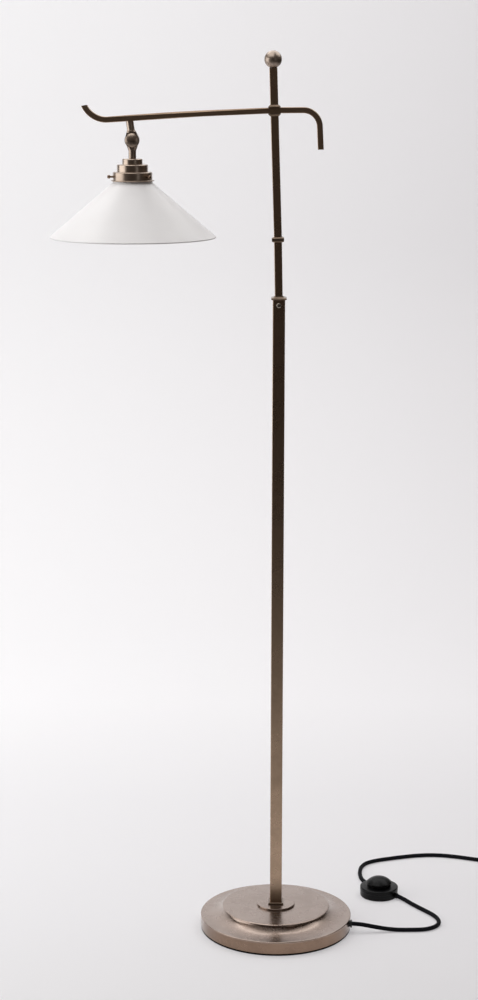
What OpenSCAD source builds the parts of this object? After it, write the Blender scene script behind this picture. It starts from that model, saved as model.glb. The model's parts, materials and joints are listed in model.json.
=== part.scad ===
// Bridge floor lamp: a square telescopic stand on a round weighted base, a bowed square arm,
// a swivel knuckle and a white glass coolie shade held in a stepped gallery.
// Millimetres, +Z up. The origin is on the floor under the centre of the base.
// The arm lies along X with the shade towards -X, and the lamp's front faces -Y.

/* [Base] */
// Diameter of the base across the rim's top edge
base_d = 245.6; // [200:0.2:320]
// How much the rim's side draws in towards the floor, on each side
rim_taper = 0.2; // [0:0.1:8]
// Height of the rim above the pad
rim_h = 19.5; // [16:0.5:30]
// Width of the flat land on top of the rim
rim_land = 5; // [2:0.5:12]
// Radius of the rim's top edge
rim_edge_r = 1.2; // [0.5:0.1:1.8]
// Thickness of the spun cover
cover_t = 2; // [1.5:0.1:3]
// Diameter of the raised top disc
disc_d = 175; // [150:1:190]
// Thickness of the raised top disc
disc_t = 2.8; // [2:0.1:4]
// Height of the disc's top above the rim
disc_rise = 15; // [12:0.5:24]
// How far the disc overhangs the cove under it
disc_overhang = 5; // [2:0.5:8]
// Thickness of the soft pad under the base
pad_t = 3.5; // [2:0.5:5]
// How far the pad's edge stands back from the rim
pad_inset = 0.4; // [0.2:0.1:6]
// Gap between the ballast's edge and the cover's wall
weight_gap = 17; // [6:1:30]

/* [Foot of the column] */
// Diameter of the round foot flange
foot_flange_d = 62; // [40:1:80]
// Thickness of the foot flange
foot_flange_t = 3; // [2:0.1:5]
// How far the square foot block stands out from the column
foot_block_out = 2.7; // [1.5:0.1:6]
// Height of the square foot block
foot_block_h = 3.2; // [2:0.1:8]
// Outer diameter of the threaded nipple that clamps the base
nipple_d = 10; // [8:1:13]
// Bore of the nipple
nipple_bore = 7.2; // [5:0.1:8]

/* [Column and mast] */
// Width of the square mast
mast_w = 12.2; // [10:0.1:16]
// Wall of the mast's tube
mast_wall = 1.1; // [0.8:0.1:1.8]
// Gap between the mast and the column's inner wall, when centred
column_gap = 2.6; // [2.3:0.1:5]
// Wall of the column's tube
column_wall = 0.9; // [0.8:0.1:2]
// Length of the column's tube
column_len = 988.5; // [500:0.5:1200]
// Radius of the tubes' corners
corner_r = 1.1; // [0.5:0.1:1.2]
// Overhang of the cap on the column's top
cap_out = 2.5; // [1.5:0.1:4]
// Height of the cap above the column
cap_h = 4.9; // [4:0.1:8]
// Depth of the cap's insert in the column
cap_insert = 18; // [15:1:40]
// Play of the mast in the cap's mouth, on each side
mouth_play = 0.85; // [0.85:0.05:1.2]
// How far left of centre the mast stands in the mouth
mouth_shift = 0.35; // [0:0.05:0.6]
// Lean of the sliding length towards the shade, in degrees
slider_lean = 1.1; // [0:0.1:1.3]
// Lean of the mast above the stop collar, in degrees
mast_lean = 1.85; // [0:0.1:4]
// Length of the sliding tube between the mouth and the stop collar
slider_out = 83.8; // [60:0.1:140]
// Length of the sliding tube inside the cap and column
slider_in = 45; // [30:1:60]
// Length of the mast between the stop collar and the arm's lower collar
mast_len = 182.8; // [100:0.2:300]
// Length of the top tube between the arm's upper collar and the ball
top_len = 55.2; // [30:0.1:120]
// Diameter of the ball finial
ball_d = 26.8; // [16:0.1:40]
// Diameter of the clamp screw's head
clamp_head_d = 7.3; // [5:0.1:10]
// Height of the clamp screw's head
clamp_head_h = 2.6; // [1.5:0.1:5]
// Diameter of the clamp screw's shank
clamp_d = 4; // [3:0.5:5]
// Depth of the clamp screw's axis below the column's top
clamp_drop = 8.1; // [7.5:0.1:12]

/* [Collars] */
// Width of the square collars
collar_w = 18.8; // [15:0.1:26]
// Height of the stop collar
stop_h = 7.5; // [5:0.1:12]
// Depth of the stop collar's spigots in the tubes
spigot_len = 14; // [8:1:25]
// Height of each collar at the arm
collar_h = 4; // [2.5:0.1:8]

/* [Arm] */
// Thickness of the square arm
arm_w = 9; // [8:0.1:14]
// Wall of the arm's tube
arm_wall = 1; // [0.7:0.1:1.5]
// Bevel of the arm's corners
arm_bevel = 0.7; // [0.3:0.1:1.2]
// Length of the long limb from the mast to the start of its curl
arm_left = 253.2; // [150:0.1:400]
// Radius of the long limb's bow under load
arm_bow_r = 5400; // [3000:100:12000]
// Radius of the curl at the left end, to the middle of the bar
curl_r = 37; // [25:0.1:80]
// Angle that the curl turns through
curl_turn = 78; // [30:1:90]
// How far the curl's tip is cut back from its full turn
tip_cut = 5.5; // [2:0.1:15]
// Distance from the mast to the middle of the right limb
arm_right = 68.8; // [45:0.1:120]
// Radius of the bend at the right end, to the middle of the bar
bend_r = 25.2; // [15:0.1:40]
// Drop of the right limb below the middle of the arm
right_drop = 60.4; // [45:0.1:120]
// Rise of the bar between the mast and its right bend, in degrees
right_rise = 0.5; // [0:0.1:3]
// How far the right limb splays outwards, in degrees
limb_splay = 2.4; // [0.5:0.1:10]
// Depth of the caps in the arm's ends
end_cap_in = 5; // [3:0.5:10]
// Position of the shade's stem along the long limb
stem_at = 220.8; // [100:0.2:240]

/* [Knuckle] */
// Lean of the upper stem, in degrees
stem_lean = 7.2; // [4:0.1:15]
// Length of the upper stem from the arm to the pivot
stem_len = 29; // [24:0.1:50]
// Diameter of the stems
stem_d = 11.6; // [10:0.1:16]
// Diameter of the knuckle's discs
knuckle_d = 22.4; // [18:0.1:30]
// Thickness of the knuckle over both discs
knuckle_t = 13.5; // [11:0.5:20]
// Diameter of the domed cap on the knuckle's face
dome_d = 20.6; // [12:0.1:22]
// Height of the domed cap
dome_h = 2.6; // [1:0.1:5]
// Diameter of the pivot screw
pivot_d = 5; // [4:0.5:6]
// Length of the lower stem from the pivot to the gallery
lower_stem_len = 27.9; // [24:0.1:60]

/* [Gallery] */
// Diameter of the cap on top of the gallery
tier1_d = 31.2; // [26:0.1:40]
// Height of the cap on top of the gallery
tier1_h = 8.6; // [6:0.1:16]
// Diameter of the gallery's middle tier
tier2_d = 47.6; // [42:0.1:54]
// Height of the gallery's middle tier
tier2_h = 11.3; // [8:0.1:16]
// Nominal diameter of the shade's fitter lip
fitter_d = 57.2; // [52:0.1:70]
// Height of the gallery's ring
ring_h = 12.3; // [10:0.1:16]
// Sheet thickness of the gallery
sheet_t = 0.9; // [0.7:0.1:1.5]
// How far the rolled lip stands out from the ring
lip_out = 2.9; // [1:0.1:5]
// Thickness of the rolled lip
lip_t = 1.8; // [1:0.1:3]
// Azimuth of the first thumb screw, in degrees
screw_az = 198; // [0:1:359]
// Distance of the thumb screws' heads from the gallery's axis
screw_reach = 39.4; // [38:0.1:50]
// Diameter of the thumb screws' shanks
screw_d = 3.2; // [2.5:0.1:4]

/* [Shade and bulb] */
// Diameter of the shade's rim
shade_d = 256.6; // [180:0.2:360]
// Height of the shade's cone, from the shoulder to the rim
cone_h = 83.2; // [60:0.1:140]
// Thickness of the glass
glass_t = 3.2; // [2.5:0.1:5]
// Diameter of the shade's neck under its fitter lip
neck_d = 53.2; // [50:0.1:55]
// Diameter of the lampholder's body
holder_d = 28; // [26:0.5:34]
// Diameter of the bulb
bulb_d = 45; // [35:1:60]

/* [Foot switch and cord] */
// Diameter of the foot switch
switch_d = 64.4; // [50:0.2:80]
// Height of the foot switch's shells
switch_h = 17.5; // [15:0.5:24]
// Diameter of the button's mushroom top
button_d = 43; // [34:1:46]
// Height of the button's crest above the shells
button_rise = 15.5; // [12:0.5:20]
// Travel of the button
button_travel = 3; // [2:0.5:3]
// Diameter of the braided cord
cord_d = 7; // [5:0.5:8]

/* [Hidden] */
$fn = 96;

BRONZE = "#8d8074";
DARK_BRONZE = "#4a3f36";
BRIGHT = "#cfcac2";
STEEL = "#9a9a98";
BRASS = "#b59a5a";
BLACK = "#1b1b1d";
RUBBER = "#262628";
FELT = "#101012";
IRON = "#3c3c3e";
OPAL = "#f3f3f1";
WHITE = "#ecebe6";

fit = 0.05;        // radial clearance of round parts that are screwed or turned in each other
slip = 0.1;        // clearance on the width of a square plug in its tube
apart = 0.3;       // clearance between pieces that move past each other
flex_r = 1.75;     // flex inside the mast
lead_r = 3;        // stripped lead inside the base
flex_hole_r = 2.2; // bore that the flex passes through

// Heights on the stand
rim_top = pad_t + rim_h;
disc_top = rim_top + disc_rise;
disc_low = disc_top - disc_t;
flange_top = disc_top + foot_flange_t;
column_in = mast_w + 2 * column_gap;
column_w = column_in + 2 * column_wall;
column_top = flange_top + column_len;
mouth_z = column_top + cap_h;
mouth_w = mast_w + 2 * mouth_play;
mast_in = mast_w - 2 * mast_wall;
base_r = base_d / 2;
foot_r = base_r - rim_taper;
cove_r = disc_d / 2 - disc_overhang;
cord_exit_y = -25;
cord_exit_z = pad_t + 11.5;
nut_top = pad_t + 24;
nipple_low = nut_top - 8.5;

// Directions and points in the XZ plane, as [x, z]; a lean is towards -X
function lean_up(a) = [-sin(a), cos(a)];
mouth = [-mouth_shift, mouth_z];
stop_low = mouth + slider_out * lean_up(slider_lean);
stop_mid = stop_low + stop_h / 2 * lean_up(slider_lean);
arm_in = arm_w - 2 * arm_wall;
tie_d = arm_in - 0.3;
level_from = collar_w / 2 + 1;
lap = 0.3;
limb_len = (right_drop - bend_r) / cos(limb_splay);
mast_top = stop_h / 2 + mast_len;
crossing = stop_mid + (mast_top + collar_h + arm_w / 2) * lean_up(mast_lean);
bow_at_stem = stem_at / arm_bow_r * 180 / PI;
bow_turn = arm_left / arm_bow_r * 180 / PI;
bow_point = crossing + arm_bow_r * (lean_up(mast_lean + bow_at_stem) - lean_up(mast_lean));
stem_top = bow_point - arm_w / 2 * lean_up(mast_lean + bow_at_stem);
pivot = stem_top - stem_len * lean_up(stem_lean);

// Heights in the head, measured down from the knuckle's pivot
gallery_top = -lower_stem_len - tier1_h;
ring_top = gallery_top - tier2_h;
lip_top = ring_top - ring_h;
lip_low = lip_top - lip_t;
ring_in_r = fitter_d / 2 + 0.85;
ring_r = ring_in_r + sheet_t;
screw_z = ring_top - 7;
neck_top = ring_top - sheet_t - apart;
neck_lip_h = 3;
neck_r = neck_d / 2;
shoulder_z = lip_low - 2.4;
shoulder_r = ring_r - 0.3;
shade_low = shoulder_z - cone_h;
holder_top = gallery_top - sheet_t;
holder_r = holder_d / 2;
holder_low = holder_top - 43;
bulb_r = bulb_d / 2;
bulb_z = holder_low - 4 - bulb_r;

// Foot switch: its centre, and the horizontal vectors from it to the ends of its two cord glands.
// What lies on the floor is placed from the grommet's outer end.
grommet_end = base_r + 1.2;
function laid(points) = [for (p = points) p + [grommet_end, 0, 0]];
switch_at = [grommet_end + 51.5, 135.5, 0];
gland_in = [30, -18];
gland_out = [-15, 31.5];
gland_z = 5.5;
gland_r = 4.6;
shell_t = 2;
shell_split = gland_z + gland_r;

// Cord routes, as hand-laid points
base_route = laid([
    [0, -25, 15], [17, -25, 13.5], [36, -24.5, 9.8], [55, -23, 6], [75, -21.2, 3.5], [96, -21, 3.5],
    [117, -19, 3.5], [132, -11.5, 3.5], [141.5, 0, 3.5], [144.5, 14, 3.5], [142.5, 28, 3.5],
    [137, 41, 3.5], [128, 55, 3.5], [116, 71.5, 3.5], [104, 89, 3.5], [93.5, 105, 4], [81.5, 117.5, 5.5]
]);
mains_route = laid([
    [36.5, 167, 5.5], [29.5, 182.5, 4], [24.5, 198, 3.5], [22.5, 215, 3.5], [23, 234, 3.5],
    [26.5, 253.5, 3.5], [35.5, 271, 3.5], [52, 283.5, 3.5], [75, 293.5, 3.5], [100, 302.5, 3.5],
    [124, 309.5, 3.5], [147, 313, 3.5], [170, 312, 3.5], [193, 307, 3.5], [215, 299.5, 3.5],
    [235, 292.3, 3.5], [256, 286.5, 3.5], [278, 283, 3.5], [300, 282.5, 3.5], [314, 282.5, 3.5]
]);
tail_route = laid([
    [359, 232, 16], [360.5, 219, 13], [359.5, 206, 10.5], [357.5, 195, 9.5], [356, 184, 9.5]
]);
coil_at = [grommet_end + 321, 240, 0];
coil_mid_r = 39;
coil_wide = 15;
coil_high = 21;

// Plug, lying on its back with its pins up
plug_at = [grommet_end + 356, 129, 0];
plug_w = 50;
plug_h = 19;

// ---------- helpers ----------

// Closed outline of a square with round corners
function soft_square(w, r) = [for (q = [0:3], i = [0:3])
    let (a = 90 * q + 30 * i, c = 45 + 90 * q)
    [(w / 2 - r) * sign(cos(c)) + r * cos(a), (w / 2 - r) * sign(sin(c)) + r * sin(a)]];

// Closed outline of a square with bevelled corners
function bevel_square(w, bevel) = bevel == 0
    ? [[w, w] / 2, [-w, w] / 2, [-w, -w] / 2, [w, -w] / 2]
    : [for (q = [0:3], s = [-1, 1])
        let (x = w / 2, y = s * (w / 2 - bevel), a = 90 * q)
        [x * cos(a) - y * sin(a), x * sin(a) + y * cos(a)]];

function arc(c, r, a0, a1, n = 6) = [for (i = [0:n])
    let (a = a0 + (a1 - a0) * i / n) [c[0] + r * cos(a), c[1] + r * sin(a)]];

module soft_bar(w, h, r = corner_r) {
    linear_extrude(h) polygon(soft_square(w, r));
}

module square_pipe(w, wall, h) {
    difference() {
        soft_bar(w, h);
        translate([0, 0, -1]) soft_bar(w - 2 * wall, h + 2, max(corner_r - wall, 0.2));
    }
}

// A square moulding: the half profile [half width, z] is carried round all four sides
module moulding(half) {
    outline = concat(half, [for (i = [len(half) - 1:-1:0]) [-half[i][0], half[i][1]]]);
    span = 2 * max([for (p = half) p[0]]) + 2;
    intersection() {
        rotate([90, 0, 0]) linear_extrude(span, center = true) polygon(outline);
        rotate([90, 0, 90]) linear_extrude(span, center = true) polygon(outline);
    }
}

module rod(r, z0, z1) {
    translate([0, 0, z0]) cylinder(r = r, h = z1 - z0);
}

// Frames on the leaning mast: the mouth, the stop collar's middle, the arm's middle, the pivot
module at_mouth() {
    translate([mouth[0], 0, mouth[1]]) rotate([0, -slider_lean, 0]) children();
}

module at_stop_low() {
    translate([stop_mid[0], 0, stop_mid[1]]) rotate([0, -slider_lean, 0]) children();
}

module at_stop() {
    translate([stop_mid[0], 0, stop_mid[1]]) rotate([0, -mast_lean, 0]) children();
}

module at_cross() {
    translate([crossing[0], 0, crossing[1]]) rotate([0, -mast_lean, 0]) children();
}

// Where the bar changes its slope, clear of the collars, and where its right limb starts
module at_level() {
    at_cross() translate([level_from, 0, 0]) rotate([0, mast_lean - right_rise, 0]) children();
}

module at_limb() {
    at_level() translate([arm_right - bend_r - level_from, 0, -bend_r]) rotate([0, -limb_splay, 0])
        translate([bend_r, 0, 0]) children();
}

module at_stem() {
    translate([pivot[0], 0, pivot[1]]) rotate([0, -stem_lean, 0]) children();
}

module at_head() {
    translate([pivot[0], 0, pivot[1]]) children();
}

module at_switch() {
    translate(switch_at) children();
}

// A round tube swept along a route, closed by a flat face at each end
function unit(v) = v / norm(v);
function heading(route, i) =
    i == 0 ? unit(route[1] - route[0]) :
    i == len(route) - 1 ? unit(route[i] - route[i - 1]) :
    unit(unit(route[i + 1] - route[i]) + unit(route[i] - route[i - 1]));

module swept_cord(route, r, sides = 10, first = undef, last = undef) {
    n = len(route);
    rings = [for (i = [0:n - 1])
        let (
            t = i == 0 && first != undef ? unit(first) :
                i == n - 1 && last != undef ? unit(last) : heading(route, i),
            side = unit(cross([0, 0, 1], t)),
            up = cross(t, side)
        )
        for (k = [0:sides - 1]) route[i] + r * (cos(360 * k / sides) * side + sin(360 * k / sides) * up)];
    walls = [for (i = [0:n - 2], k = [0:sides - 1])
        let (a = i * sides + k, b = i * sides + (k + 1) % sides)
        [a, b, b + sides, a + sides]];
    polyhedron(
        points = rings,
        faces = concat(
            [[for (k = [sides - 1:-1:0]) k]],
            walls,
            [[for (k = [0:sides - 1]) (n - 1) * sides + k]]
        )
    );
}

// ---------- base ----------

module base_pad() {
    color(FELT) rod(foot_r - pad_inset, 0, pad_t);
}

// Half profile of the cover: rim, land and cove up to the hub; inset shrinks it by the sheet
function cover_profile(inset) = let (
        top = rim_top - inset,
        land_r = base_r - rim_land,
        hub_r = cove_r - inset,
        rise = disc_low - rim_top
    ) concat(
        [[foot_r - inset, inset > 0 ? pad_t - 1 : pad_t]],
        arc([base_r - inset - rim_edge_r, top - rim_edge_r], rim_edge_r, 0, 90, 4),
        [for (i = [0:12]) let (a = 7.5 * i)
            [land_r - (land_r - hub_r) * sin(a), top + rise * (1 - cos(a))]],
        [[0, top + rise], [0, inset > 0 ? pad_t - 1 : pad_t]]
    );

module base_cover() {
    color(BRONZE) difference() {
        rotate_extrude() polygon(cover_profile(0));
        rotate_extrude() polygon(cover_profile(cover_t));
        rod(nipple_d / 2 + fit, 0, disc_top);
        translate([base_r - 10, cord_exit_y, cord_exit_z]) rotate([0, 90, 0]) cylinder(r = 5, h = 20);
    }
}

module base_weight() {
    hub_top = disc_low - cover_t;
    plate_top = rim_top - cover_t - 1;
    color(IRON) difference() {
        rotate_extrude() polygon([
            [0, pad_t], [base_r - weight_gap, pad_t], [base_r - weight_gap, plate_top - 2],
            [base_r - weight_gap - 2, plate_top], [44, plate_top], [36, hub_top], [0, hub_top]
        ]);
        rod(20, pad_t - 1, nut_top);
        rod(nipple_d / 2 + fit, 0, disc_top);
        translate([0, cord_exit_y - 4.5, cord_exit_z - 4.5]) cube([base_r, 9, 9]);
        translate([-4.5, cord_exit_y - 4.5, cord_exit_z - 4.5]) cube([9, -cord_exit_y + 4.5, 9]);
    }
}

module base_disc() {
    r = disc_d / 2;
    edge = 0.9;
    color(BRONZE) difference() {
        rotate_extrude() polygon(concat(
            [[0, disc_low], [r - 1.2, disc_low]],
            arc([r - edge, disc_low + edge + 0.3], edge, -50, 90, 5),
            [[r - edge - 2.5, disc_top], [0, disc_top]]
        ));
        rod(nipple_d / 2 + fit, disc_low - 1, disc_top + 1);
    }
}

module foot_flange() {
    r = foot_flange_d / 2;
    edge = 0.5;
    color(BRONZE) difference() {
        rotate_extrude() polygon(concat(
            [[0, disc_top], [r - edge, disc_top], [r, disc_top + edge]],
            arc([r - edge, flange_top - edge], edge, 0, 90, 4),
            [[0, flange_top]]
        ));
        rod(nipple_d / 2 + fit, disc_top - 1, flange_top + 1);
    }
}

module foot_block() {
    w = column_w / 2 + foot_block_out;
    color(BRONZE) difference() {
        translate([0, 0, flange_top]) moulding([
            [w, 0], [w, foot_block_h - 1.4], [w - 0.4, foot_block_h - 0.5], [w - 1.4, foot_block_h]
        ]);
        translate([0, 0, flange_top - 1]) soft_bar(column_w + slip, foot_block_h + 2);
    }
}

module base_nipple() {
    color(BRASS) difference() {
        rod(nipple_d / 2, nipple_low, flange_top + 20);
        rod(nipple_bore / 2, nipple_low - 1, flange_top + 21);
    }
}

module base_nut() {
    color(STEEL) difference() {
        union() {
            rod(nipple_d / 2 + 9, nut_top - 2, nut_top);
            translate([0, 0, nut_top - 8]) cylinder(r = nipple_d * 0.98, h = 6, $fn = 6);
        }
        rod(nipple_d / 2 + fit, nut_top - 9, nut_top + 1);
    }
}

// ---------- column ----------

module column_plug() {
    color(STEEL) difference() {
        translate([0, 0, flange_top]) soft_bar(column_in - slip, 22, 0.3);
        rod(nipple_d / 2 + fit, flange_top - 1, flange_top + 23);
    }
}

module column_tube() {
    color(DARK_BRONZE) difference() {
        translate([0, 0, flange_top]) square_pipe(column_w, column_wall, column_len);
        translate([0, 0, column_top - clamp_drop]) rotate([90, 0, 0]) rod(clamp_d / 2 + 0.4, 0, column_w);
    }
}

module column_cap() {
    half = column_w / 2;
    out = half + cap_out;
    color(DARK_BRONZE) difference() {
        union() {
            translate([0, 0, column_top]) moulding(concat(
                [[half, 0], [out - 1.6, 0.2]],
                arc([out - 1.7, 2], 1.7, -60, 70, 6),
                [[out - 2.6, cap_h - 1.1], [mouth_w / 2 + 1.5, cap_h - 0.8], [mouth_w / 2 + 1.1, cap_h]]
            ));
            translate([0, 0, column_top - cap_insert]) soft_bar(column_in - slip, cap_insert + 1, 0.3);
        }
        translate([0, 0, column_top - cap_insert - 1]) soft_bar(mouth_w, cap_insert + cap_h + 2, 0.3);
        translate([0, 0, column_top - clamp_drop]) rotate([90, 0, 0]) rod(clamp_d / 2 + fit, 0, column_w);
    }
}

// Socket-head screw that bears on the front face of the sliding tube
module clamp_screw() {
    face = column_w / 2;
    color(BRIGHT) translate([0, 0, column_top - clamp_drop]) rotate([90, 0, 0]) difference() {
        union() {
            rod(clamp_d / 2, mast_w / 2 + 0.15, face + 0.5);
            rotate_extrude() polygon(concat(
                [[0, face + 0.05], [clamp_head_d / 2, face + 0.05]],
                arc([clamp_head_d / 2 - 1, face + clamp_head_h - 1], 1, 0, 90, 4),
                [[0, face + clamp_head_h]]
            ));
        }
        translate([0, 0, face + clamp_head_h - 1.8]) cylinder(r = 1.75, h = 3, $fn = 6);
    }
}

// ---------- lead and flex ----------

module cord_grommet() {
    color(RUBBER) translate([0, cord_exit_y, cord_exit_z]) rotate([0, 90, 0]) difference() {
        union() {
            rod(4.9, grommet_end - 13, grommet_end - 1);
            rod(6.3, grommet_end - 2.2, grommet_end);
            rod(5.6, grommet_end - 13, grommet_end - 9);
        }
        rod(lead_r + fit, grommet_end - 14, grommet_end - 1.5);
    }
}

module inner_lead() {
    bend = [0, cord_exit_y, cord_exit_z];
    color(BLACK) union() {
        translate(bend) rotate([0, 90, 0]) cylinder(r = lead_r, h = grommet_end - 1.6);
        translate(bend) sphere(lead_r);
        translate(bend) rotate([-90, 0, 0]) cylinder(r = lead_r, h = -cord_exit_y);
        translate([0, 0, cord_exit_z]) sphere(lead_r);
        rod(lead_r, cord_exit_z, flange_top + 26);
        rod(flex_r, flange_top + 25, mouth_z - slider_in + 5);
    }
}

// ---------- sliding tube and mast ----------

module slider_tube() {
    color(DARK_BRONZE) at_mouth() translate([0, 0, -slider_in])
        square_pipe(mast_w, mast_wall, slider_in + slider_out);
}

module slider_bush() {
    color(WHITE) at_mouth() translate([0, 0, -slider_in]) difference() {
        union() {
            soft_bar(mast_in - slip, 10, 0.3);
            translate([0, 0, -1.2]) soft_bar(mast_w - 0.4, 1.2);
        }
        rod(4.1, -2, 11);
    }
}

// Stop collar: each half is chamfered at its outer end, and the upper one has the mast's own lean
module collar_half() {
    w = collar_w / 2;
    h = stop_h / 2;
    moulding([[w, -0.3], [w, h - 1.5], [w - 0.3, h - 1.1], [w - 1.8, h]]);
}

module mast_coupling() {
    h = stop_h / 2;
    color(DARK_BRONZE) difference() {
        union() {
            at_stop_low() {
                rotate([180, 0, 0]) collar_half();
                translate([0, 0, -h - spigot_len]) linear_extrude(spigot_len + 1)
                    square(mast_in - 2 * slip, center = true);
            }
            at_stop() {
                collar_half();
                translate([0, 0, h - 1]) linear_extrude(spigot_len + 1)
                    square(mast_in - 2 * slip, center = true);
            }
        }
        translate([stop_mid[0], 0, stop_mid[1]]) rotate([0, -(slider_lean + mast_lean) / 2, 0])
            rod(flex_hole_r + 0.3, -h - spigot_len - 1, h + spigot_len + 1);
    }
}

module mast_tube() {
    color(DARK_BRONZE) at_stop() translate([0, 0, stop_h / 2]) square_pipe(mast_w, mast_wall, mast_len);
}

module mast_plug() {
    top = -arm_w / 2 - collar_h;
    color(STEEL) at_cross() difference() {
        translate([0, 0, top - 22]) soft_bar(mast_in - slip, 22, 0.3);
        rod(tie_d / 2 + fit, top - 23, top + 1);
    }
}

// Collar that grips the arm: broad at the arm, chamfered towards the tube
module cross_collar() {
    w = collar_w / 2;
    difference() {
        moulding([[w, 0], [w, 1.3], [w - 0.5, 1.8], [w - 2.2, collar_h - 0.6], [w - 2.4, collar_h]]);
        rod(tie_d / 2 + fit, -1, collar_h + 1);
    }
}

module lower_cross_collar() {
    color(DARK_BRONZE) at_cross() translate([0, 0, -arm_w / 2 - 0.01])
        mirror([0, 0, 1]) cross_collar();
}

module upper_cross_collar() {
    color(DARK_BRONZE) at_cross() translate([0, 0, arm_w / 2]) cross_collar();
}

module top_tube() {
    color(DARK_BRONZE) at_cross() translate([0, 0, arm_w / 2 + collar_h])
        square_pipe(mast_w, mast_wall, top_len);
}

module top_plug() {
    top = arm_w / 2 + collar_h + top_len;
    color(STEEL) at_cross() difference() {
        translate([0, 0, top - 14]) soft_bar(mast_in - slip, 14, 0.3);
        rod(tie_d / 2 + fit, top - 15, top + 1);
    }
}

// Tie rod: hollow below the arm, with a side window through which the flex turns into the arm
module tie_rod() {
    low = -arm_w / 2 - collar_h - 22;
    high = arm_w / 2 + collar_h + top_len + 9;
    color(STEEL) at_cross() difference() {
        rod(tie_d / 2, low, high);
        rod(flex_hole_r, low - 1, 0);
        sphere(flex_hole_r);
        rotate([0, -90, 0]) cylinder(r = flex_hole_r, h = tie_d);
    }
}

module finial_ball() {
    seat = arm_w / 2 + collar_h + top_len;
    r = ball_d / 2;
    drop = sqrt(r * r - mast_in * mast_in / 4);
    color(BRONZE) at_cross() difference() {
        translate([0, 0, seat + drop]) sphere(r);
        translate([0, 0, seat - r]) cylinder(r = r, h = r);
        rod(tie_d / 2 + fit, seat - 1, seat + 10);
    }
}

// ---------- arm ----------

// The bar's centre line, left to right: curl, bow, straight, bend, limb
module arm_run(section_w, lapped_w, bevel = 0, extra = 0) {
    outline = bevel_square(section_w, bevel);
    lapped = bevel_square(lapped_w, bevel);
    curl_lap = 0.3;
    at_cross() {
        translate([0, 0, -arm_bow_r]) rotate([90, 0, 0]) rotate([0, 0, 90])
            rotate_extrude(angle = bow_turn) translate([arm_bow_r, 0]) polygon(outline);
        translate([0, 0, -arm_bow_r]) rotate([0, -bow_turn, 0]) translate([0, 0, arm_bow_r + curl_r])
            rotate([90, 0, 0]) rotate([0, 0, -90 - curl_turn - extra])
                rotate_extrude(angle = curl_turn + extra + curl_lap) translate([curl_r, 0])
                    polygon(lapped);
        rotate([0, 90, 0]) linear_extrude(level_from) rotate(90) polygon(outline);
    }
    at_level() {
        rotate([0, 90, 0]) translate([0, 0, -lap])
            linear_extrude(arm_right - bend_r - level_from + 2 * lap) rotate(90) polygon(lapped);
        translate([arm_right - bend_r - level_from, 0, -bend_r]) rotate([90, 0, 0])
            rotate([0, 0, limb_splay]) rotate_extrude(angle = 90 - limb_splay)
                translate([bend_r, 0]) polygon(outline);
    }
    at_limb() translate([0, 0, -limb_len - extra])
        linear_extrude(limb_len + extra + lap) polygon(lapped);
}

// Level cut across the curl's tip, taken at the middle of the bar
curl_lean = mast_lean + bow_turn - curl_turn;
curl_centre = crossing + arm_bow_r * (lean_up(mast_lean + bow_turn) - lean_up(mast_lean))
    + curl_r * lean_up(mast_lean + bow_turn);
curl_tip = curl_centre - curl_r * lean_up(curl_lean);
tip_cut_z = curl_tip[1] - tip_cut;

module above_tip(z) {
    translate([curl_tip[0], -20, z]) rotate([0, -11, 0]) translate([-40, 0, 0]) cube([60, 40, 60]);
}

module arm_tube() {
    color(DARK_BRONZE) difference() {
        arm_run(arm_w, arm_w - 0.04, arm_bevel);
        arm_run(arm_in, arm_in + 0.04, 0, 1);
        above_tip(tip_cut_z);
        at_cross() rod(tie_d / 2 + fit, -arm_w, arm_w);
        at_stem() rod(3 + fit, stem_len - 4, stem_len + arm_w / 2);
    }
}

module arm_end_caps() {
    color(DARK_BRONZE) {
        difference() {
            intersection() {
                arm_run(arm_in - slip, arm_in - slip);
                translate([0, 0, -end_cap_in]) above_tip(tip_cut_z);
            }
            above_tip(tip_cut_z);
        }
        at_limb() translate([0, 0, -limb_len]) soft_bar(arm_in - slip, end_cap_in, 0.3);
    }
}

// Flanged nipple that holds the stem up against the arm's underside
module arm_nipple() {
    color(BRASS) at_stem() difference() {
        union() {
            rod(3, stem_len - 13, stem_len + arm_wall + 1.3);
            rod(3.55, stem_len + arm_wall + 0.5, stem_len + arm_wall + 1.3);
        }
        rod(flex_hole_r, stem_len - 14, stem_len + arm_w);
    }
}

module mast_flex() {
    color(WHITE) {
        at_stop() rod(flex_r, 42 - slider_out, mast_top + collar_h + arm_w / 2);
        at_cross() sphere(flex_r + 0.1);
        at_cross() rotate([0, -90 - bow_at_stem / 2, 0])
            rod(flex_r, 0, 2 * arm_bow_r * sin(bow_at_stem / 2));
        translate([bow_point[0], 0, bow_point[1]]) sphere(flex_r + 0.1);
        at_stem() rod(flex_r, 14, stem_len + arm_w / 2);
    }
}

// ---------- knuckle ----------

// One half of the swivel: half the thickness at the disc, the full round stem beyond it
module knuckle_half(stem_end) {
    r = knuckle_d / 2;
    half_t = knuckle_t / 2;
    clear = r + 0.6;
    neck_end = clear + 4.5;
    rotate([-90, 0, 0]) rod(r, apart / 2, half_t);
    intersection() {
        translate([0, 0, 5]) cylinder(r1 = r - 1.2, r2 = stem_d / 2, h = neck_end - 5);
        union() {
            translate([-r, apart / 2, 0]) cube([2 * r, half_t - apart / 2, clear]);
            translate([-r, -half_t, clear]) cube([2 * r, 2 * half_t, neck_end]);
        }
    }
    rod(stem_d / 2, neck_end - 0.5, stem_end);
}

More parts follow.
